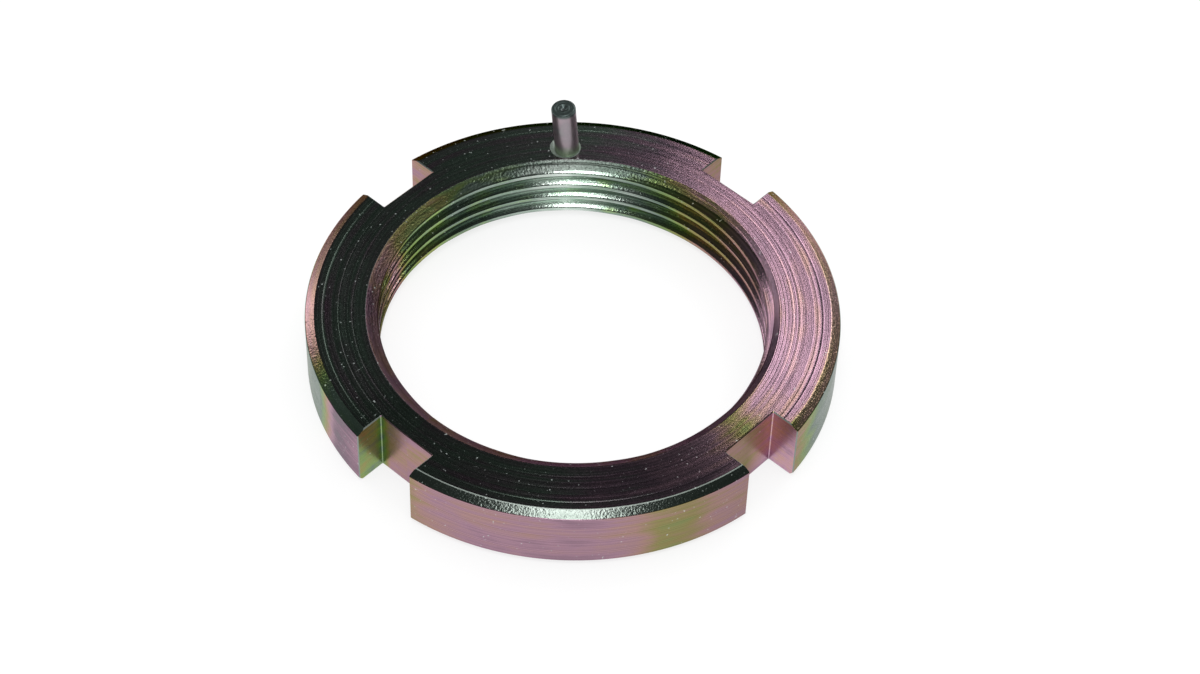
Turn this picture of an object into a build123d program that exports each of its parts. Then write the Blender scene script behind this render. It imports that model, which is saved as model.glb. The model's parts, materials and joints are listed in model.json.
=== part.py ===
"""Round slotted lock nut with a locking pin, for a wheel bearing or spindle.

The nut is turned from steel bar, bored and tapped, milled with four spanner slots in its rim,
drilled in its face for a dowel pin, and zinc plated. The pin is pressed in afterwards and
engages a hole in the lock washer.

Frame: millimetres, +Z up along the thread, origin at the centre of the bearing face.
The slots lie on the X and Y axes and the pin stands in the lobe between +X and +Y.
"""

import os
from math import cos, radians, sin, tan

from build123d import *

# Turned blank
rim_width = 7.95  # from the thread's major diameter out to the rim
thickness = 9.0
face_chamfer_radial = 1.15  # outer edge on the pin side, cut flatter than 45 degrees
face_chamfer_height = 0.6
back_chamfer = 0.6  # outer edge on the bearing side

# Thread 2-12 UN: the hole is modelled at the minor diameter, as bored for the tap
thread_major = 50.8
thread_pitch = 25.4 / 12
minor_depth_ratio = 1.0825  # unified thread: major less minor diameter, in pitches
countersink_over = 0.8  # the countersinks open this much wider than the thread
countersink_angle = 60.0  # from the axis

# Spanner slots
slot_count = 4
slot_width = 8.7
slot_depth = 4.2

# Locking pin, a dowel that was knocked slightly over, with its hole
pin_diameter = 3.175
pin_height = 7.2  # above the face, along the pin
pin_seat = 5.6  # inside the nut, along the pin
pin_inset = 2.6  # from the thread's major radius out to the pin's centre
pin_angle = 45.0  # round from +X
pin_lean = 4.7  # degrees, round the rim
pin_end_chamfer = 0.25
pin_dimple_diameter = 1.3  # centre mark in the free end
pin_dimple_depth = 0.4
pin_hole_rim = 0.3  # edge break round the hole's mouth
drill_point_angle = 118.0
cut_overrun = 1.0  # how far cutters run past a face

outer_radius = thread_major / 2 + rim_width
minor_radius = (thread_major - minor_depth_ratio * thread_pitch) / 2
countersink_radius = (thread_major + countersink_over) / 2
countersink_depth = (countersink_radius - minor_radius) / tan(radians(countersink_angle))
pin_radius = pin_diameter / 2
pin_circle_radius = thread_major / 2 + pin_inset

# The pin's own plane: origin where its axis meets the face, z along the pin
pin_x = pin_circle_radius * cos(radians(pin_angle))
pin_y = pin_circle_radius * sin(radians(pin_angle))
lean_x = -sin(radians(pin_angle)) * sin(radians(pin_lean))
lean_y = cos(radians(pin_angle)) * sin(radians(pin_lean))
pin_plane = Plane(
    origin=(pin_x, pin_y, thickness),
    x_dir=(cos(radians(pin_angle)), sin(radians(pin_angle)), 0),
    z_dir=(lean_x, lean_y, cos(radians(pin_lean))),
)
# Half-sections of what turns about the pin's axis are drawn on this plane: x outward, y along the pin
pin_section = Plane(
    origin=pin_plane.origin, x_dir=pin_plane.x_dir, z_dir=-pin_plane.y_dir
)
pin_axis = Axis(pin_plane.origin, pin_plane.z_dir)

# Nut body: one turned ring
with BuildPart() as nut_body:
    with BuildSketch(Plane.XZ) as ring_section:
        with BuildLine():
            Polyline(
                (countersink_radius, 0),
                (outer_radius - back_chamfer, 0),
                (outer_radius, back_chamfer),
                (outer_radius, thickness - face_chamfer_height),
                (outer_radius - face_chamfer_radial, thickness),
                (countersink_radius, thickness),
                (minor_radius, thickness - countersink_depth),
                (minor_radius, countersink_depth),
                close=True,
            )
        make_face()
    revolve(axis=Axis.Z)

    # Slots, milled straight through the rim with a flat floor
    with BuildSketch(Plane.XY):
        with PolarLocations(outer_radius - slot_depth, slot_count):
            Rectangle(
                slot_depth + cut_overrun, slot_width, align=(Align.MIN, Align.CENTER)
            )
    extrude(amount=thickness, mode=Mode.SUBTRACT)

    # Blind hole for the pin, with a drill point and a broken edge at its mouth
    drill_point_depth = pin_radius / tan(radians(drill_point_angle / 2))
    with BuildSketch(pin_section):
        with BuildLine():
            Polyline(
                (0, cut_overrun),
                (pin_radius + pin_hole_rim + cut_overrun, cut_overrun),
                (pin_radius, -pin_hole_rim),
                (pin_radius, -pin_seat),
                (0, -pin_seat - drill_point_depth),
                close=True,
            )
        make_face()
    revolve(axis=pin_axis, mode=Mode.SUBTRACT)

# Locking pin: a plain dowel with chamfered ends and a centre mark in the free end
with BuildPart() as lock_pin:
    with BuildSketch(pin_section):
        with BuildLine():
            Polyline(
                (0, pin_height - pin_dimple_depth),
                (0, -pin_seat),
                (pin_radius - pin_end_chamfer, -pin_seat),
                (pin_radius, -pin_seat + pin_end_chamfer),
                (pin_radius, pin_height - pin_end_chamfer),
                (pin_radius - pin_end_chamfer, pin_height),
                (pin_dimple_diameter / 2, pin_height),
                close=True,
            )
        make_face()
    revolve(axis=pin_axis)

nut_body.part.label = "nut_body"
lock_pin.part.label = "lock_pin"

os.makedirs("parts", exist_ok=True)
export_step(nut_body.part, "parts/nut_body.step")
export_step(lock_pin.part, "parts/lock_pin.step")
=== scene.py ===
"""Looks for a slotted round nut with a locking pin: turned steel, zinc plated and yellow passivated.

Lengths are millimetres, as in the drawing, and become metres where a mesh is made.
"""

import json
from math import cos, pi, radians, sin, sqrt, tan

import bmesh
import bpy
import numpy as np
from mathutils import Matrix, Vector


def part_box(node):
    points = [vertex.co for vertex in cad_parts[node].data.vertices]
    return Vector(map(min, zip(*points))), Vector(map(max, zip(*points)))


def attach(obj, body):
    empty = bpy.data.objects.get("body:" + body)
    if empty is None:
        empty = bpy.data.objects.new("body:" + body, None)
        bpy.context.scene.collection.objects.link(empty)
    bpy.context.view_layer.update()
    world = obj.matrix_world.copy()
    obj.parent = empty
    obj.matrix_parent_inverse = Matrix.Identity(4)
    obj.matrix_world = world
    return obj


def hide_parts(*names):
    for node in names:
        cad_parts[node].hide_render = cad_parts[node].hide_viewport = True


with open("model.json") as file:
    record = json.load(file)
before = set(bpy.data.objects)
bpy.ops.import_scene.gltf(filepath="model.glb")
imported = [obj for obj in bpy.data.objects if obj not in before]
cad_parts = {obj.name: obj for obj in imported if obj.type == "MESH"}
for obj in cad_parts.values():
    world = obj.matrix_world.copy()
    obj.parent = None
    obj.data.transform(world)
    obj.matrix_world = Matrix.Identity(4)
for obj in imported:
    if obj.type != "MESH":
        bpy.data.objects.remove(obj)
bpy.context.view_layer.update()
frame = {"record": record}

# Nut ring: a steel ring turned, faced and tapped in one piece, with four slots milled in its rim
# and a blind hole drilled for the pin. Replaces the CAD solid, whose bore has no thread.
mm = 0.001
nut_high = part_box("nut_body")[1]
thickness = nut_high.z / mm
slot_count = 4
slot_width = 8.7
slot_depth = 4.2
# The slots cut off the rim's furthest points, so the CAD box ends at their corners
outer_radius = sqrt((nut_high.x / mm) ** 2 + (slot_width / 2) ** 2)
chamfer_radial = 1.15
chamfer_height = 0.6
back_chamfer = 0.6
edge_round = 0.07

# Thread: 12 to the inch, tapped in the CAD solid's bore, with a countersink at each end
minor_radius = frame["record"]["mounts"][0]["dims"]["r_mm"]
major_radius = 25.4
pitch = 25.4 / 12
flank_angle = radians(30)
root_half_flat = pitch / 16
countersink_radius = 25.8
countersink_slope = tan(radians(30))
countersink_depth = (countersink_radius - minor_radius) * countersink_slope
columns = 480
thread_rows = 92

# Facing grooves, (radius, depth), left by the tool where its feed caught
grooves = ((27.4, 0.03), (28.3, 0.017), (29.1, 0.03), (29.95, 0.016), (30.6, 0.02), (31.15, 0.032))
groove_half = 0.11

profile = [(countersink_radius, thickness), (countersink_radius + edge_round, thickness)]
for groove_radius, groove_depth in grooves:
    profile += [
        (groove_radius - 2 * groove_half, thickness),
        (groove_radius - groove_half, thickness),
        (groove_radius, thickness - groove_depth),
        (groove_radius + groove_half, thickness),
        (groove_radius + 2 * groove_half, thickness),
    ]

# From the face over the chamfer, down the rim and back in along the underside
face_edge = outer_radius - chamfer_radial
face_edge_drop = 0.012
slope = chamfer_height / chamfer_radial
rim_edge = thickness - chamfer_height
rim_edge_inset = 0.015
rim_edge_drop = 0.01
underside_ring = 29.0
profile += [
    (face_edge - 2 * edge_round, thickness),
    (face_edge - edge_round, thickness),
    (face_edge, thickness - face_edge_drop),
    (face_edge + edge_round, thickness - slope * edge_round),
    (face_edge + 2 * edge_round, thickness - 2 * slope * edge_round),
    (outer_radius - 2 * edge_round, rim_edge + 2 * slope * edge_round),
    (outer_radius - edge_round, rim_edge + slope * edge_round),
    (outer_radius - rim_edge_inset, rim_edge - rim_edge_drop),
    (outer_radius, rim_edge - edge_round),
    (outer_radius, rim_edge - 2 * edge_round),
    (outer_radius, thickness / 2),
    (outer_radius, back_chamfer + 2 * edge_round),
    (outer_radius, back_chamfer + edge_round),
    (outer_radius - back_chamfer + edge_round, edge_round),
    (outer_radius - back_chamfer - edge_round, 0.0),
    (outer_radius - back_chamfer - 3 * edge_round, 0.0),
    (underside_ring, 0.0),
    (countersink_radius + edge_round, 0.0),
    (countersink_radius, 0.0),
]

# The thread climbs by one pitch a turn, and its crests are cut off at the bored wall
around = np.arange(columns) * 2 * pi / columns
rings = [(np.full(columns, r), np.full(columns, z)) for r, z in profile]
for row in range(1, thread_rows):
    z = thickness * row / thread_rows
    from_root = np.abs((z - pitch * around / (2 * pi) + pitch / 2) % pitch - pitch / 2)
    rise = np.clip((from_root - root_half_flat) / tan(flank_angle), 0, major_radius - minor_radius)
    mouth = countersink_radius - min(z, thickness - z) / countersink_slope
    rings.append((np.maximum(major_radius - rise, mouth), np.full(columns, z)))
points = np.array(
    [np.stack((r * np.cos(around), r * np.sin(around), z), axis=1) for r, z in rings]
).reshape(-1, 3)
faces = [
    (
        i * columns + j,
        i * columns + (j + 1) % columns,
        (i + 1) % len(rings) * columns + (j + 1) % columns,
        (i + 1) % len(rings) * columns + j,
    )
    for i in range(len(rings))
    for j in range(columns)
]
ring_mesh = bpy.data.meshes.new("nut_ring")
ring_mesh.from_pydata((points * mm).tolist(), [], faces)
nut = bpy.data.objects.new("nut_ring", ring_mesh)
bpy.context.scene.collection.objects.link(nut)

# The cutters: each slot's flares outward at the faces and the rim, which breaks its edges. Levels
# are (height, flare) from below the nut to above it, and stations (reach, flare) from the slot's
# floor out past the rim.
edge_break = 0.13
inner_corner = 0.1
overrun = 1.0
slot_floor = outer_radius - slot_depth
rim_at_slot = sqrt(outer_radius**2 - (slot_width / 2) ** 2)
levels = (
    (-overrun, edge_break + overrun),
    (edge_break, 0.0),
    (thickness - edge_break, 0.0),
    (thickness + overrun, edge_break + overrun),
)
stations = (
    (slot_floor, -inner_corner),
    (slot_floor + inner_corner, 0.0),
    (rim_at_slot - edge_break, 0.0),
    (rim_at_slot + overrun, edge_break + overrun),
)
cutter = bmesh.new()
for turn in range(slot_count):
    spin = Matrix.Rotation(turn * 2 * pi / slot_count, 4, "Z")
    corner = {}
    for i, (z, open_up) in enumerate(levels):
        for j, (reach, open_out) in enumerate(stations):
            for side in (-1, 1):
                place = Vector(
                    (
                        reach - (open_up if j < 2 else 0.0),
                        side * (slot_width / 2 + open_up + open_out),
                        z,
                    )
                )
                corner[i, j, side] = cutter.verts.new(spin @ place * mm)
    for i in range(3):
        for j in range(3):
            for side in (-1, 1):
                cutter.faces.new(
                    [
                        corner[i, j, side],
                        corner[i + 1, j, side],
                        corner[i + 1, j + 1, side],
                        corner[i, j + 1, side],
                    ]
                )
        for j in (0, 3):
            cutter.faces.new(
                [corner[i, j, -1], corner[i + 1, j, -1], corner[i + 1, j, 1], corner[i, j, 1]]
            )
    for i in (0, 3):
        for j in range(3):
            cutter.faces.new(
                [corner[i, j, -1], corner[i, j + 1, -1], corner[i, j + 1, 1], corner[i, j, 1]]
            )

# The pin's place: midway between two slots, leaning round the rim
pin_radius = 1.5875
pin_circle = 28.0
pin_turn = radians(45)
pin_lean = radians(4.7)
pin_frame = (
    Matrix.Translation(
        Vector((pin_circle * cos(pin_turn), pin_circle * sin(pin_turn), thickness)) * mm
    )
    @ Matrix.Rotation(pin_turn, 4, "Z")
    @ Matrix.Rotation(-pin_lean, 4, "X")
)


def turn_about_pin(shape, profile, steps):
    """Turns a (radius, height) profile about the pin's axis and gives back its rows of corners."""
    rows = [
        [
            shape.verts.new(
                pin_frame @ (Vector((r * cos(2 * pi * k / steps), r * sin(2 * pi * k / steps), z)) * mm)
            )
            for k in range(steps if r else 1)
        ]
        for r, z in profile
    ]
    for first, second in zip(rows, rows[1:]):
        for k in range(steps):
            corners = [
                first[k % len(first)],
                first[(k + 1) % len(first)],
                second[(k + 1) % len(second)],
                second[k % len(second)],
            ]
            shape.faces.new(list(dict.fromkeys(corners)))
    return rows


# The pin's hole: a flared mouth, a close wall and a drill point
mouth_width = 0.42
mouth_flare = 1.2
mouth_depth = 0.2
mouth_lip = 0.04
hole_ease = 0.02
hole_depth = 5.6
drill_point = 0.9
hole_profile = (
    (0.0, overrun),
    (pin_radius + mouth_width + mouth_flare * overrun, overrun),
    (pin_radius + mouth_width - mouth_flare * mouth_depth, -mouth_depth),
    (pin_radius + hole_ease, -mouth_depth - mouth_lip),
    (pin_radius + hole_ease, -hole_depth),
    (0.0, -hole_depth - drill_point),
)
turn_about_pin(cutter, hole_profile, 64)
bmesh.ops.recalc_face_normals(cutter, faces=cutter.faces)
cutter_mesh = bpy.data.meshes.new("cutters")
cutter.to_mesh(cutter_mesh)
cutter.free()
cutters = bpy.data.objects.new("cutters", cutter_mesh)
bpy.context.scene.collection.objects.link(cutters)

recalculated = bmesh.new()
recalculated.from_mesh(ring_mesh)
bmesh.ops.recalc_face_normals(recalculated, faces=recalculated.faces)
recalculated.to_mesh(ring_mesh)
recalculated.free()
cut = nut.modifiers.new("slots_and_hole", "BOOLEAN")
cut.operation = "DIFFERENCE"
cut.solver = "MANIFOLD"
cut.object = cutters
bpy.context.view_layer.update()
nut.data = bpy.data.meshes.new_from_object(nut.evaluated_get(bpy.context.evaluated_depsgraph_get()))
nut.modifiers.clear()
nut.data.name = "nut_ring"
bpy.data.objects.remove(cutters)

# Each machined surface has its own finish, chosen by where a face lies and which way it looks.
# Grooves, bumps and broken edges lie within these margins of the plain surface.
face_margin = 0.06
mouth_margin = 0.04
chamfer_margin = 0.02
corner_margin = 0.15
edge_line_margin = 0.1
mouth_reach = 0.75
centres = np.array([p.center for p in nut.data.polygons]) / mm
normals = np.array([p.normal for p in nut.data.polygons])
heights = centres[:, 2]
facing_up = normals[:, 2]
from_axis = np.hypot(centres[:, 0], centres[:, 1])
in_bore = from_axis < countersink_radius
flat_centres = np.sort(np.abs(centres[:, :2]), axis=1)
in_slot = (flat_centres[:, 1] > slot_floor - edge_break) & (
    flat_centres[:, 0] < slot_width / 2 + edge_break
)
finish = np.full(len(centres), "turned_rim", dtype=object)
finish[(facing_up > 0.8) & (heights > thickness - face_margin)] = "turned_face"
finish[(facing_up < -0.95) & (heights < face_margin)] = "faced_underside"
finish[in_slot & (np.abs(facing_up) < 0.8)] = "milled_slot"
finish[in_bore] = "tapped_bore"
over_chamfer = np.abs(from_axis - (outer_radius - chamfer_radial / 2)) < chamfer_radial / 2
chamfer_slant = np.abs(facing_up - cos(np.arctan(slope))) < chamfer_margin
finish[over_chamfer & chamfer_slant] = "turned_chamfer"
slot_corner = sqrt(slot_floor**2 + (slot_width / 2) ** 2)
slanting = np.abs(normals).max(axis=1) < 0.9
finish[in_slot & slanting & (from_axis > slot_corner + corner_margin)] = "worn_edge_and_painted_glint"
# The face edge shows as a thin bright line on the front lobe only: worn plating with a painted
# highlight. Elsewhere it takes the chamfer's finish.
on_front_lobe = (centres[:, 0] < -slot_width / 2) & (centres[:, 1] < -slot_width / 2)
near_face_edge = np.abs(from_axis - face_edge) < edge_round
at_face_edge = near_face_edge & (heights > thickness - edge_line_margin)
finish[at_face_edge] = "turned_chamfer"
finish[at_face_edge & on_front_lobe] = "worn_edge_and_painted_glint"
finish[in_bore & (heights > thickness - countersink_depth) & (facing_up > 0.3)] = "countersink"
to_pin = np.array(pin_frame.inverted())
by_pin = (centres * mm) @ to_pin[:3, :3].T / mm + to_pin[:3, 3] / mm
from_pin = np.hypot(by_pin[:, 0], by_pin[:, 1])
below_face = (facing_up < 0.9) | (heights < thickness - mouth_margin)
finish[(from_pin < pin_radius + mouth_reach) & below_face & ~in_bore] = "worn_edge_and_painted_glint"

# Machined edges stay sharp, but the thread shades smoothly from crest to root
sharp_angle = radians(32)
bore_margin = 0.05
nut.data.polygons.foreach_set("use_smooth", np.ones(len(centres), bool))
nut.data.set_sharp_from_angle(angle=sharp_angle)
ends = np.array([e.vertices[:] for e in nut.data.edges])
spots = np.array([v.co for v in nut.data.vertices]) / mm
deep_in_bore = np.hypot(spots[:, 0], spots[:, 1]) < countersink_radius - bore_margin
sharp = nut.data.attributes["sharp_edge"]
for edge in np.flatnonzero(deep_in_bore[ends[:, 0]] & deep_in_bore[ends[:, 1]]):
    sharp.data[edge].value = False


def lay_nodes(tree, made, nodes, links):
    """Adds nodes, named and as (kind, settings, inputs), to a tree's made ones and links them."""
    for node_name, (kind, settings, inputs) in nodes.items():
        made[node_name] = tree.nodes.new(kind)
        for key, value in settings.items():
            if key == "stops":
                stops = made[node_name].color_ramp.elements
                while len(stops) < len(value):
                    stops.new(0.5)
                for stop, (place, colour) in zip(stops, value):
                    stop.position = place
                    stop.color = (*colour, 1.0)
            else:
                setattr(made[node_name], key, value)
        for socket, value in inputs.items():
            made[node_name].inputs[socket].default_value = value
    for source, leaving, target, entering in links:
        tree.links.new(made[source].outputs[leaving], made[target].inputs[entering])


# Plating effects, as node groups. The passivated zinc is an interference film whose colour runs
# through teal, green, gold, pink and mauve as it thickens, over marks left by the turning tool.
# Turn is 0 at -X and grows to 1 anticlockwise. Along is drawn out round the ring.
lap_stretch = 60.0
groups = {
    "ring_place": {
        "sockets": (
            ("Place", "OUTPUT", "NodeSocketVector"),
            ("Radius", "OUTPUT", "NodeSocketFloat"),
            ("Turn", "OUTPUT", "NodeSocketFloat"),
            ("Height", "OUTPUT", "NodeSocketFloat"),
            ("Outward", "OUTPUT", "NodeSocketVector"),
            ("Along", "OUTPUT", "NodeSocketVector"),
        ),
        "nodes": {
            "coords": ("ShaderNodeTexCoord", {}, {}),
            "in_mm": ("ShaderNodeVectorMath", {"operation": "SCALE"}, {"Scale": 1 / mm}),
            "split": ("ShaderNodeSeparateXYZ", {}, {}),
            "flat": ("ShaderNodeCombineXYZ", {}, {}),
            "radius": ("ShaderNodeVectorMath", {"operation": "LENGTH"}, {}),
            "outward": ("ShaderNodeVectorMath", {"operation": "NORMALIZE"}, {}),
            "angle": ("ShaderNodeMath", {"operation": "ARCTAN2"}, {}),
            "turn": ("ShaderNodeMath", {"operation": "MULTIPLY_ADD"}, {1: 0.5 / pi, 2: 0.5}),
            "stretch": ("ShaderNodeMath", {"operation": "MULTIPLY"}, {1: lap_stretch}),
            "along": ("ShaderNodeCombineXYZ", {}, {}),
        },
        "links": (
            ("coords", "Object", "in_mm", 0),
            ("in_mm", 0, "split", 0),
            ("split", "X", "flat", "X"),
            ("split", "Y", "flat", "Y"),
            ("flat", 0, "radius", 0),
            ("flat", 0, "outward", 0),
            ("split", "Y", "angle", 0),
            ("split", "X", "angle", 1),
            ("angle", 0, "turn", 0),
            ("in_mm", 0, "out", "Place"),
            ("radius", "Value", "out", "Radius"),
            ("turn", 0, "out", "Turn"),
            ("split", "Z", "out", "Height"),
            ("outward", 0, "out", "Outward"),
            ("turn", 0, "stretch", 0),
            ("radius", "Value", "along", "X"),
            ("stretch", 0, "along", "Y"),
            ("split", "Z", "along", "Z"),
            ("along", 0, "out", "Along"),
        ),
    },
    "chromate_colour": {
        "sockets": (
            ("Film", "INPUT", "NodeSocketFloat"),
            ("Color", "OUTPUT", "NodeSocketColor"),
        ),
        "nodes": {
            "ramp": (
                "ShaderNodeValToRGB",
                {
                    "stops": (
                        (0.0, (0.37, 0.42, 0.385)),
                        (0.16, (0.215, 0.285, 0.235)),
                        (0.3, (0.30, 0.42, 0.16)),
                        (0.42, (0.42, 0.36, 0.15)),
                        (0.54, (0.56, 0.34, 0.30)),
                        (0.66, (0.52, 0.31, 0.40)),
                        (0.82, (0.27, 0.18, 0.24)),
                        (1.0, (0.22, 0.285, 0.24)),
                    )
                },
                {},
            ),
        },
        "links": (("in", "Film", "ramp", 0), ("ramp", 0, "out", "Color")),
    },
    "tool_marks": {
        "sockets": (
            ("Across", "INPUT", "NodeSocketFloat"),
            ("Height", "OUTPUT", "NodeSocketFloat"),
            ("Streak", "OUTPUT", "NodeSocketFloat"),
        ),
        "nodes": {
            "fine": (
                "ShaderNodeTexNoise",
                {"noise_dimensions": "1D"},
                {"Scale": 6.5, "Detail": 3.0, "Roughness": 0.55},
            ),
            "broad": (
                "ShaderNodeTexNoise",
                {"noise_dimensions": "1D"},
                {"Scale": 1.1, "Detail": 2.0, "Roughness": 0.5},
            ),
        },
        "links": (
            ("in", "Across", "fine", "W"),
            ("in", "Across", "broad", "W"),
            ("fine", 0, "out", "Height"),
            ("broad", 0, "out", "Streak"),
        ),
    },
    # Grit: a fine grain for roughness and bumps, and glints, pale and less metallic specks that are
    # partly dust on the plating and partly a painted sparkle of light.
    "grit": {
        "sockets": (
            ("Place", "INPUT", "NodeSocketVector"),
            ("Grain", "OUTPUT", "NodeSocketFloat"),
            ("Glints", "OUTPUT", "NodeSocketFloat"),
        ),
        "nodes": {
            "grain": (
                "ShaderNodeTexNoise",
                {},
                {"Scale": 3.2, "Detail": 2.0, "Roughness": 0.6},
            ),
            "specks": (
                "ShaderNodeTexNoise",
                {},
                {"Scale": 2.3, "Detail": 1.0, "Roughness": 0.4},
            ),
            "pick": (
                "ShaderNodeMapRange",
                {},
                {"From Min": 0.72, "From Max": 0.8, "To Min": 0.0, "To Max": 0.6},
            ),
        },
        "links": (
            ("in", "Place", "grain", "Vector"),
            ("in", "Place", "specks", "Vector"),
            ("specks", 0, "pick", 0),
            ("grain", 0, "out", "Grain"),
            ("pick", 0, "out", "Glints"),
        ),
    },
}
for group_name, plan in groups.items():
    tree = bpy.data.node_groups.new(group_name, "ShaderNodeTree")
    for socket_name, way, kind in plan["sockets"]:
        tree.interface.new_socket(socket_name, in_out=way, socket_type=kind)
    made = {
        "in": tree.nodes.new("NodeGroupInput"),
        "out": tree.nodes.new("NodeGroupOutput"),
    }
    lay_nodes(tree, made, plan["nodes"], plan["links"])


def placed(group_name):
    """A node that places one of the plating effects in a material."""
    return ("ShaderNodeGroup", {"node_tree": bpy.data.node_groups[group_name]}, {})


def grey_stops(stops, scale=1.0):
    """A ramp's stops of one value each, as greys."""
    return [(place, (value * scale,) * 3) for place, value in stops]
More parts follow.
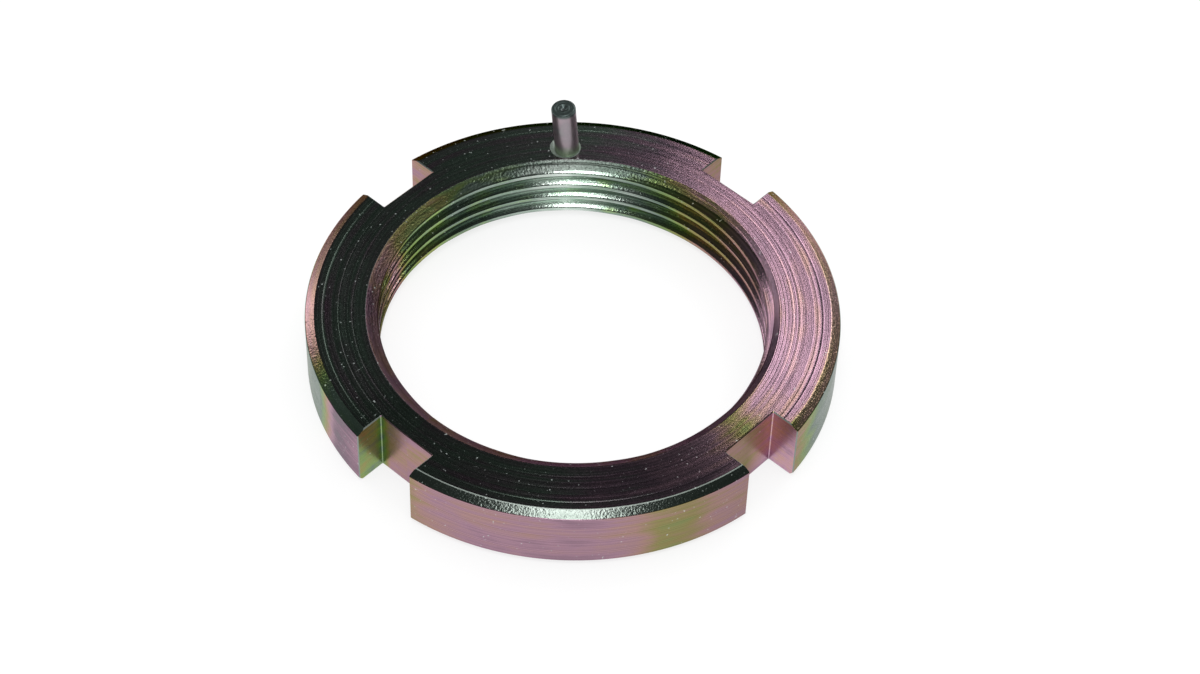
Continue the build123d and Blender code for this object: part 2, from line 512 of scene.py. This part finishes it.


# The finish of each surface. Film (its thickness), the painted light and shade, and tilt (how far the
# tool marks lean outward) are given round the ring, as (turn, value). The painted light and shade
# multiplies the colour by turn and stands in for reflections: painted highlights where the lamps
# mirror, as on the right of the face and at the back of the bore, and painted dark where the canopy
# mirrors, as on the front and left of the face. Patch and streak are how much the film varies over
# broad patches and across the tool marks, and lines how much the painted brightness does. Edge is
# the tint of glancing light, and marks and grain are bump strengths.
no_tilt = ((0.0, 0.0), (1.0, 0.0))
surfaces = {
    "turned_face": {
        "film": (
            (0.0, 0.96), (0.1, 0.94), (0.15, 0.82), (0.2, 0.74), (0.23, 0.62), (0.25, 0.42),
            (0.27, 0.58), (0.3, 0.66), (0.46, 0.68), (0.53, 0.66), (0.57, 0.8), (0.62, 0.94),
            (0.8, 0.97), (1.0, 0.96),
        ),
        "painted_light": (
            (0.0, 0.42), (0.1, 0.42), (0.17, 0.56), (0.23, 0.85), (0.27, 1.2), (0.46, 1.4),
            (0.54, 1.7), (0.59, 1.5), (0.63, 1.1), (0.68, 0.8), (0.8, 0.58), (0.95, 0.52),
            (0.98, 0.36), (1.0, 0.42),
        ),
        "across": "Radius",
        "patch": 0.18,
        "streak": 0.15,
        "tilt": (
            (0.0, 0.0), (0.2, 0.0), (0.26, 0.5), (0.3, 0.75), (0.46, 0.75), (0.53, 0.4),
            (0.57, 0.08), (1.0, 0.0),
        ),
        "rough": 0.26,
        "metal": 1.0,
        "edge": 0.15,
        "lines": 1.8,
        "grain": 0.08,
        "marks": 0.6,
    },
    "turned_rim": {
        "film": (
            (0.0, 0.3), (0.03, 0.56), (0.08, 0.66), (0.13, 0.66), (0.155, 0.56), (0.172, 0.4),
            (0.19, 0.4), (0.205, 0.56), (0.225, 0.6), (0.27, 0.5), (0.285, 0.3), (0.3, 0.14),
            (0.42, 0.12), (0.7, 0.5), (0.8, 0.7), (0.86, 0.13), (0.93, 0.15), (0.955, 0.86),
            (1.0, 0.6),
        ),
        "painted_light": (
            (0.0, 0.76), (0.15, 0.7), (0.19, 0.62), (0.25, 0.6), (0.3, 1.1), (0.42, 1.15),
            (0.8, 1.2), (0.93, 1.3), (0.955, 1.05), (1.0, 0.76),
        ),
        "across": "Height",
        "patch": 0.2,
        "streak": 0.09,
        "tilt": no_tilt,
        "rough": 0.24,
        "metal": 1.0,
        "edge": 0.6,
        "lines": 0.8,
        "grain": 0.16,
        "marks": 0.45,
    },
    "milled_slot": {
        "film": (
            (0.0, 0.58), (0.02, 0.6), (0.22, 0.5), (0.255, 0.52), (0.275, 0.62), (0.5, 0.5),
            (0.75, 0.55), (0.968, 0.2), (0.977, 0.22), (0.984, 0.6), (1.0, 0.58),
        ),
        "painted_light": ((0.0, 0.85), (0.25, 0.65), (0.27, 1.15), (0.5, 0.6), (0.97, 1.0), (1.0, 0.85)),
        "across": "Height",
        "patch": 0.26,
        "streak": 0.12,
        "tilt": no_tilt,
        "rough": 0.3,
        "metal": 1.0,
        "edge": 0.5,
        "lines": 0.8,
        "grain": 0.2,
        "marks": 0.1,
    },
    "tapped_bore": {
        "film": (
            (0.0, 0.6), (0.2, 0.62), (0.3, 0.7), (0.4, 0.68), (0.48, 0.5), (0.56, 0.16),
            (0.65, 0.04), (0.7, 0.16), (0.76, 0.3), (0.79, 0.34), (0.81, 0.56), (0.83, 0.4),
            (0.88, 0.62), (1.0, 0.6),
        ),
        "painted_light": (
            (0.0, 0.7), (0.25, 0.7), (0.3, 0.8), (0.36, 0.8), (0.4, 1.1), (0.44, 1.0), (0.48, 0.75),
            (0.54, 0.75), (0.595, 1.25), (0.625, 2.0), (0.655, 1.3), (0.72, 0.95), (0.76, 1.1),
            (0.8, 1.0), (0.86, 0.46), (0.92, 0.42), (1.0, 0.7),
        ),
        "across": "Height",
        "patch": 0.3,
        "streak": 0.16,
        "tilt": no_tilt,
        "rough": 0.18,
        "metal": 1.0,
        "edge": 0.2,
        "lines": 2.0,
        "grain": 0.5,
        "marks": 0.6,
    },
    "faced_underside": {
        "film": ((0.0, 0.2), (0.3, 0.55), (0.6, 0.66), (1.0, 0.2)),
        "painted_light": ((0.0, 0.9), (1.0, 0.9)),
        "across": "Radius",
        "patch": 0.3,
        "streak": 0.3,
        "tilt": no_tilt,
        "rough": 0.27,
        "metal": 1.0,
        "edge": 0.3,
        "lines": 1.2,
        "grain": 0.3,
        "marks": 0.5,
    },
    "turned_chamfer": {
        "film": (
            (0.0, 0.02), (0.24, 0.04), (0.28, 0.5), (0.45, 0.56), (0.55, 0.2), (0.75, 0.5),
            (0.87, 0.58), (0.91, 0.5), (0.94, 0.2), (0.97, 0.14), (1.0, 0.02),
        ),
        "painted_light": (
            (0.0, 0.54), (0.24, 0.54), (0.28, 1.5), (0.38, 1.9), (0.45, 1.5), (0.5, 0.3),
            (0.72, 0.3), (0.78, 0.5), (0.84, 0.7), (0.87, 1.3), (0.95, 1.5), (0.97, 1.3),
            (1.0, 0.54),
        ),
        "across": "Radius",
        "patch": 0.1,
        "streak": 0.04,
        "tilt": no_tilt,
        "rough": 0.2,
        "metal": 1.0,
        "edge": 0.1,
        "lines": 0.8,
        "grain": 0.9,
        "marks": 0.6,
    },
    # Broken slot edges, the front lobe's face edge and the pin hole's mouth: paler, less metallic
    # plating where it wore, with a painted highlight in its brightness, strongest on the front lobe and
    # round the pin.
    "worn_edge_and_painted_glint": {
        "film": ((0.0, 0.0), (0.5, 0.05), (1.0, 0.0)),
        "painted_light": (
            (0.0, 0.9), (0.23, 1.0), (0.27, 0.7), (0.5, 0.35), (0.58, 0.4), (0.61, 1.1),
            (0.64, 1.1), (0.66, 0.4), (0.8, 0.45), (0.95, 0.5), (1.0, 0.9),
        ),
        "across": "Radius",
        "patch": 0.1,
        "streak": 0.0,
        "tilt": no_tilt,
        "rough": 0.35,
        "metal": 0.6,
        "edge": 0.3,
        "lines": 0.0,
        "grain": 0.4,
        "marks": 0.0,
    },
    "countersink": {
        "film": (
            (0.0, 0.6), (0.2, 0.62), (0.3, 0.72), (0.42, 0.66), (0.5, 0.5), (0.56, 0.14),
            (0.65, 0.04), (0.7, 0.2), (0.76, 0.36), (0.82, 0.5), (0.88, 0.62), (1.0, 0.6),
        ),
        "painted_light": (
            (0.0, 0.5), (0.25, 0.5), (0.3, 0.4), (0.36, 0.5), (0.42, 1.9), (0.46, 1.7), (0.54, 0.8),
            (0.6, 0.46), (0.625, 0.5), (0.66, 0.48), (0.75, 0.8), (0.8, 0.45), (0.86, 0.18),
            (0.93, 0.28), (1.0, 0.5),
        ),
        "across": "Height",
        "patch": 0.3,
        "streak": 0.16,
        "tilt": no_tilt,
        "rough": 0.32,
        "metal": 1.0,
        "edge": 0.2,
        "lines": 1.2,
        "grain": 1.6,
        "marks": 0.6,
    },
}
nut.data.materials.clear()
for name, look in surfaces.items():
    plating = bpy.data.materials.new("zinc_chromate_" + name)
    plating.use_nodes = True
    tree = plating.node_tree
    # A multiply-add node with factor and offset in sockets 1 and 2 turns a 0 to 1 noise into a
    # variation about its middle. A colour mix has its factor, A and B in sockets 0, 6 and 7. The ramp
    # of painted light and shade, a brightness by turn that stands in for reflections, holds halves,
    # since a ramp ends at 1, and the lines about 2 double it again.
    patch_about_0 = {1: 2 * look["patch"], 2: -look["patch"]}
    streak_about_0 = {1: 2 * look["streak"], 2: -look["streak"]}
    lines_about_2 = {1: 2 * look["lines"], 2: 2.0 - look["lines"]}
    nodes = {
        "place": placed("ring_place"),
        "marks": placed("tool_marks"),
        "grit": placed("grit"),
        "film": ("ShaderNodeValToRGB", {"stops": grey_stops(look["film"])}, {}),
        "painted_light": ("ShaderNodeValToRGB", {"stops": grey_stops(look["painted_light"], 0.5)}, {}),
        "patches": ("ShaderNodeTexNoise", {}, {"Scale": 0.4, "Detail": 3.0, "Distortion": 0.4}),
        "patch": ("ShaderNodeMath", {"operation": "MULTIPLY_ADD"}, patch_about_0),
        "streak": ("ShaderNodeMath", {"operation": "MULTIPLY_ADD"}, streak_about_0),
        "film_sum": ("ShaderNodeMath", {"operation": "ADD"}, {}),
        "film_all": ("ShaderNodeMath", {"operation": "ADD", "use_clamp": True}, {}),
        "colour": placed("chromate_colour"),
        "toned": ("ShaderNodeMix", {"data_type": "RGBA", "blend_type": "MULTIPLY"}, {0: 1.0}),
        "lines": ("ShaderNodeMath", {"operation": "MULTIPLY_ADD"}, lines_about_2),
        "painted_light_doubled": ("ShaderNodeVectorMath", {"operation": "SCALE"}, {}),
        "glinting": ("ShaderNodeMix", {"data_type": "RGBA"}, {7: (0.6, 0.66, 0.64, 1.0)}),
        "metal": ("ShaderNodeMath", {"operation": "MULTIPLY_ADD"}, {1: -0.8, 2: look["metal"]}),
        "rough": (
            "ShaderNodeMath",
            {"operation": "MULTIPLY_ADD"},
            {1: 0.14, 2: look["rough"] - 0.07},
        ),
        "mark_bump": (
            "ShaderNodeBump",
            {},
            {"Strength": look["marks"], "Distance": 0.00003},
        ),
        "grain_bump": (
            "ShaderNodeBump",
            {},
            {"Strength": look["grain"], "Distance": 0.00004},
        ),
        "tilt": ("ShaderNodeVectorMath", {"operation": "SCALE"}, {}),
        "tilt_by": ("ShaderNodeMath", {"operation": "MULTIPLY"}, {}),
        "tilt_turn": ("ShaderNodeValToRGB", {"stops": grey_stops(look["tilt"])}, {}),
        "tilted": ("ShaderNodeVectorMath", {"operation": "ADD"}, {}),
        "normal": ("ShaderNodeVectorMath", {"operation": "NORMALIZE"}, {}),
        "geometry": ("ShaderNodeNewGeometry", {}, {}),
        "tangent": ("ShaderNodeTangent", {"direction_type": "RADIAL", "axis": "Z"}, {}),
    }
    links = (
        ("place", "Turn", "film", 0),
        ("place", "Turn", "painted_light", 0),
        ("place", look["across"], "marks", 0),
        ("place", "Place", "grit", 0),
        ("place", "Along", "patches", "Vector"),
        ("patches", 0, "patch", 0),
        ("marks", "Streak", "streak", 0),
        ("film", 0, "film_sum", 0),
        ("patch", 0, "film_sum", 1),
        ("film_sum", 0, "film_all", 0),
        ("streak", 0, "film_all", 1),
        ("film_all", 0, "colour", 0),
        ("painted_light", 0, "painted_light_doubled", 0),
        ("marks", "Height", "lines", 0),
        ("lines", 0, "painted_light_doubled", "Scale"),
        ("colour", 0, "toned", 6),
        ("painted_light_doubled", 0, "toned", 7),
        ("grit", "Glints", "glinting", 0),
        ("toned", 2, "glinting", 6),
        ("glinting", 2, "surface", "Base Color"),
        ("grit", "Glints", "metal", 0),
        ("metal", 0, "surface", "Metallic"),
        ("grit", "Grain", "rough", 0),
        ("rough", 0, "surface", "Roughness"),
        ("place", "Outward", "tilt", 0),
        ("marks", "Height", "tilt_by", 0),
        ("place", "Turn", "tilt_turn", 0),
        ("tilt_turn", 0, "tilt_by", 1),
        ("tilt_by", 0, "tilt", "Scale"),
        ("geometry", "Normal", "tilted", 0),
        ("tilt", 0, "tilted", 1),
        ("tilted", 0, "normal", 0),
        ("normal", 0, "mark_bump", "Normal"),
        ("marks", "Height", "mark_bump", "Height"),
        ("mark_bump", 0, "grain_bump", "Normal"),
        ("grit", "Grain", "grain_bump", "Height"),
        ("grain_bump", 0, "surface", "Normal"),
        ("tangent", 0, "surface", "Tangent"),
    )
    surface = tree.nodes["Principled BSDF"]
    lay_nodes(tree, {"surface": surface}, nodes, links)
    surface.inputs["Specular Tint"].default_value = (look["edge"], look["edge"], look["edge"], 1.0)
    surface.inputs["Anisotropic"].default_value = 0.45
    surface.inputs["Anisotropic Rotation"].default_value = 0.25
    nut.data.materials.append(plating)
material_number = {name: number for number, name in enumerate(surfaces)}
numbers = np.array([material_number[name] for name in finish], np.int32)
nut.data.polygons.foreach_set("material_index", numbers)
nut.data.update()
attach(nut, "root")
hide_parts("nut_body")

# Locking pin: a 1/8 in steel dowel, cropped and centre-marked at its free end, pressed into the
# face. Replaces the CAD solid, to round its end and show the ring that the cropping left.
pin_height = 7.2
pin_seat = 5.5
pin_profile = (
    (pin_radius, -pin_seat),
    (pin_radius, 0.0),
    (pin_radius, pin_height - 0.9),
    (pin_radius, pin_height - 0.26),
    (pin_radius - 0.02, pin_height - 0.15),
    (pin_radius - 0.07, pin_height - 0.07),
    (pin_radius - 0.16, pin_height - 0.02),
    (1.2, pin_height - 0.01),
    (1.0, pin_height - 0.07),
    (0.86, pin_height - 0.1),
    (0.76, pin_height - 0.03),
    (0.66, pin_height - 0.04),
    (0.5, pin_height - 0.2),
    (0.28, pin_height - 0.35),
    (0.0, pin_height - 0.4),
)
dowel = bmesh.new()
rows = turn_about_pin(dowel, pin_profile, 96)
for face in dowel.faces:
    face.smooth = True
dowel.faces.new(list(reversed(rows[0])))
bmesh.ops.recalc_face_normals(dowel, faces=dowel.faces)
pin_mesh = bpy.data.meshes.new("locking_pin")
dowel.to_mesh(pin_mesh)
dowel.free()
pin = bpy.data.objects.new("locking_pin", pin_mesh)
bpy.context.scene.collection.objects.link(pin)

# Its plating is greyer than the ring's and dark on the cropped end. The lime green round its foot
# is a painted reflection of the face's film.
steel = bpy.data.materials.new("zinc_chromate_pin")
steel.use_nodes = True
pin_top = thickness + pin_height
end_fade = {"From Min": pin_top - 0.75, "From Max": pin_top - 0.35, "To Min": 0.0, "To Max": 1.0}
foot_reflection_fade = {"From Min": thickness + 1.6, "From Max": thickness + 0.5, "To Min": 0.0, "To Max": 0.6}
nodes = {
    "place": placed("ring_place"),
    "grit": placed("grit"),
    "patches": ("ShaderNodeTexNoise", {}, {"Scale": 0.5, "Detail": 2.0}),
    "patch": ("ShaderNodeMath", {"operation": "MULTIPLY_ADD"}, {1: 0.5, 2: 0.5}),
    "colour": placed("chromate_colour"),
    "greyer": ("ShaderNodeMix", {"data_type": "RGBA"}, {0: 0.55, 7: (0.37, 0.37, 0.37, 1.0)}),
    "at_end": ("ShaderNodeMapRange", {}, end_fade),
    "end": ("ShaderNodeMix", {"data_type": "RGBA"}, {7: (0.11, 0.14, 0.135, 1.0)}),
    "at_painted_foot_reflection": ("ShaderNodeMapRange", {}, foot_reflection_fade),
    "painted_foot_reflection": ("ShaderNodeMix", {"data_type": "RGBA"}, {7: (0.4, 0.56, 0.34, 1.0)}),
    "rough": ("ShaderNodeMath", {"operation": "MULTIPLY_ADD"}, {1: 0.16, 2: 0.24}),
    "rough_end": ("ShaderNodeMath", {"operation": "MULTIPLY_ADD"}, {1: 0.05}),
    "bump": ("ShaderNodeBump", {}, {"Strength": 0.3, "Distance": 0.00003}),
}
links = (
    ("place", "Place", "grit", 0),
    ("place", "Place", "patches", "Vector"),
    ("patches", 0, "patch", 0),
    ("patch", 0, "colour", 0),
    ("place", "Height", "at_end", 0),
    ("at_end", 0, "end", 0),
    ("colour", 0, "greyer", 6),
    ("greyer", 2, "end", 6),
    ("place", "Height", "at_painted_foot_reflection", 0),
    ("at_painted_foot_reflection", 0, "painted_foot_reflection", 0),
    ("end", 2, "painted_foot_reflection", 6),
    ("painted_foot_reflection", 2, "surface", "Base Color"),
    ("grit", "Grain", "rough", 0),
    ("at_end", 0, "rough_end", 0),
    ("rough", 0, "rough_end", 2),
    ("rough_end", 0, "surface", "Roughness"),
    ("grit", "Grain", "bump", "Height"),
    ("bump", 0, "surface", "Normal"),
)
surface = steel.node_tree.nodes["Principled BSDF"]
lay_nodes(steel.node_tree, {"surface": surface}, nodes, links)
surface.inputs["Metallic"].default_value = 0.88
surface.inputs["Specular Tint"].default_value = (0.4, 0.4, 0.4, 1.0)
pin.data.materials.append(steel)
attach(pin, "root")
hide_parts("lock_pin")

# Camera: above the lower slots, looking down at about 48 degrees through a long lens, with a
# slight roll. Turn is round the upright from -Y, rise is above the table.
camera_turn = radians(-48.65)
camera_rise = radians(48.37)
camera_roll = radians(2.17)
camera_place = Vector((-0.18799, -0.17006, 0.28862))
level = Vector((cos(camera_turn), sin(camera_turn), 0.0))
forward = Vector((-sin(camera_turn), cos(camera_turn), 0.0))
back = -forward * cos(camera_rise) + Vector((0.0, 0.0, sin(camera_rise)))
upward = back.cross(level)
right = cos(camera_roll) * level + sin(camera_roll) * upward
up = cos(camera_roll) * upward - sin(camera_roll) * level
lens = bpy.data.cameras.new("camera")
lens.sensor_width = 36.0
lens.lens = 90.98
camera = bpy.data.objects.new("camera", lens)
camera.matrix_world = Matrix(
    [(right[i], up[i], back[i], camera_place[i]) for i in range(3)] + [(0.0, 0.0, 0.0, 1.0)]
)
bpy.context.scene.collection.objects.link(camera)
bpy.context.scene.camera = camera

# Floor: a plain white table just under the nut. To the camera and in reflections it is three
# parts glow, which makes it white, to one part paint, which keeps the nut's shadow.
floor_half = 4.0
floor_drop = 0.00005
glow_share = 0.75
floor_mesh = bpy.data.meshes.new("floor")
sides = ((-1, -1), (1, -1), (1, 1), (-1, 1))
corners = [(x * floor_half, y * floor_half, -floor_drop) for x, y in sides]
floor_mesh.from_pydata(corners, [], [(0, 1, 2, 3)])
floor = bpy.data.objects.new("floor", floor_mesh)
bpy.context.scene.collection.objects.link(floor)
white = bpy.data.materials.new("white_table")
white.use_nodes = True
white.node_tree.nodes.clear()
nodes = {
    "path": ("ShaderNodeLightPath", {}, {}),
    "seen": ("ShaderNodeMath", {"operation": "MAXIMUM"}, {}),
    "shown": ("ShaderNodeMath", {"operation": "MAXIMUM"}, {}),
    "part": ("ShaderNodeMath", {"operation": "MULTIPLY"}, {1: glow_share}),
    "paint": ("ShaderNodeBsdfDiffuse", {}, {"Color": (0.9, 0.9, 0.9, 1.0)}),
    "glow": ("ShaderNodeEmission", {}, {}),
    "mix": ("ShaderNodeMixShader", {}, {}),
    "out": ("ShaderNodeOutputMaterial", {}, {}),
}
links = (
    ("path", "Is Camera Ray", "seen", 0),
    ("path", "Is Glossy Ray", "seen", 1),
    ("seen", 0, "shown", 0),
    ("path", "Is Transmission Ray", "shown", 1),
    ("shown", 0, "part", 0),
    ("part", 0, "mix", 0),
    ("paint", 0, "mix", 1),
    ("glow", 0, "mix", 2),
    ("mix", 0, "out", 0),
)
lay_nodes(white.node_tree, {}, nodes, links)
floor.data.materials.append(white)

# Dark canopy: the unlit studio above the table, a dome that only reflections show, so that the
# metal mirrors dark. It casts no shadow, and the white world lights the table through it.
canopy_radius = 1.6
canopy_foot = 0.1
canopy_shape = bmesh.new()
bmesh.ops.create_uvsphere(canopy_shape, u_segments=48, v_segments=32, radius=canopy_radius)
bmesh.ops.delete(
    canopy_shape,
    geom=[f for f in canopy_shape.faces if f.calc_center_median().z < canopy_foot],
    context="FACES",
)
canopy_mesh = bpy.data.meshes.new("dark_canopy")
canopy_shape.to_mesh(canopy_mesh)
canopy_shape.free()
canopy = bpy.data.objects.new("dark_canopy", canopy_mesh)
bpy.context.scene.collection.objects.link(canopy)
dark = bpy.data.materials.new("dark_studio")
dark.use_nodes = True
dark.node_tree.nodes.clear()
glow = dark.node_tree.nodes.new("ShaderNodeEmission")
glow.inputs["Color"].default_value = (0.05, 0.06, 0.055, 1.0)
end = dark.node_tree.nodes.new("ShaderNodeOutputMaterial")
dark.node_tree.links.new(glow.outputs[0], end.inputs[0])
canopy.data.materials.append(dark)
canopy.visible_camera = False
canopy.visible_diffuse = False
canopy.visible_transmission = False
canopy.visible_shadow = False

# Lights: a narrow soft box overhead towards the camera, a wide one behind to the right, and a
# weak one low behind to the left. Places are metres from the nut as the camera sees it, and each
# box faces the nut.
for name, aside, ahead, height, wide, high, roll, watts in (
    ("overhead_box", 0.0, -0.2, 0.68, 0.17, 0.6, 0.0, 1.8),
    ("back_right_box", 0.3, 0.52, 0.52, 0.5, 0.22, -41.0, 1.0),
    ("back_left_box", -0.5, 0.53, 0.32, 0.32, 0.28, 0.0, 0.36),
):
    area = bpy.data.lights.new(name, "AREA")
    area.shape = "RECTANGLE"
    area.size = wide
    area.size_y = high
    area.energy = watts
    lamp = bpy.data.objects.new(name, area)
    place = level * aside + forward * ahead + Vector((0, 0, height))
    behind = place.normalized()
    across = level if aside == 0 else Vector((0, 0, 1)).cross(behind).normalized()
    across = Matrix.Rotation(radians(roll), 3, behind) @ across
    along = behind.cross(across)
    lamp.matrix_world = Matrix(
        [(across[i], along[i], behind[i], place[i]) for i in range(3)]
        + [(0.0, 0.0, 0.0, 1.0)]
    )
    bpy.context.scene.collection.objects.link(lamp)

# World: an even white studio all round, at a strength of 1. It lights the table, and the lowest
# reflections see it under the canopy's foot.
world = bpy.data.worlds.new("white_studio")
world.use_nodes = True
world.node_tree.nodes["Background"].inputs["Color"].default_value = (1.0, 1.0, 1.0, 1.0)
world.node_tree.nodes["Background"].inputs["Strength"].default_value = 1.0
bpy.context.scene.world = world
bpy.context.scene.view_settings.view_transform = "Standard"

bpy.context.view_layer.update()
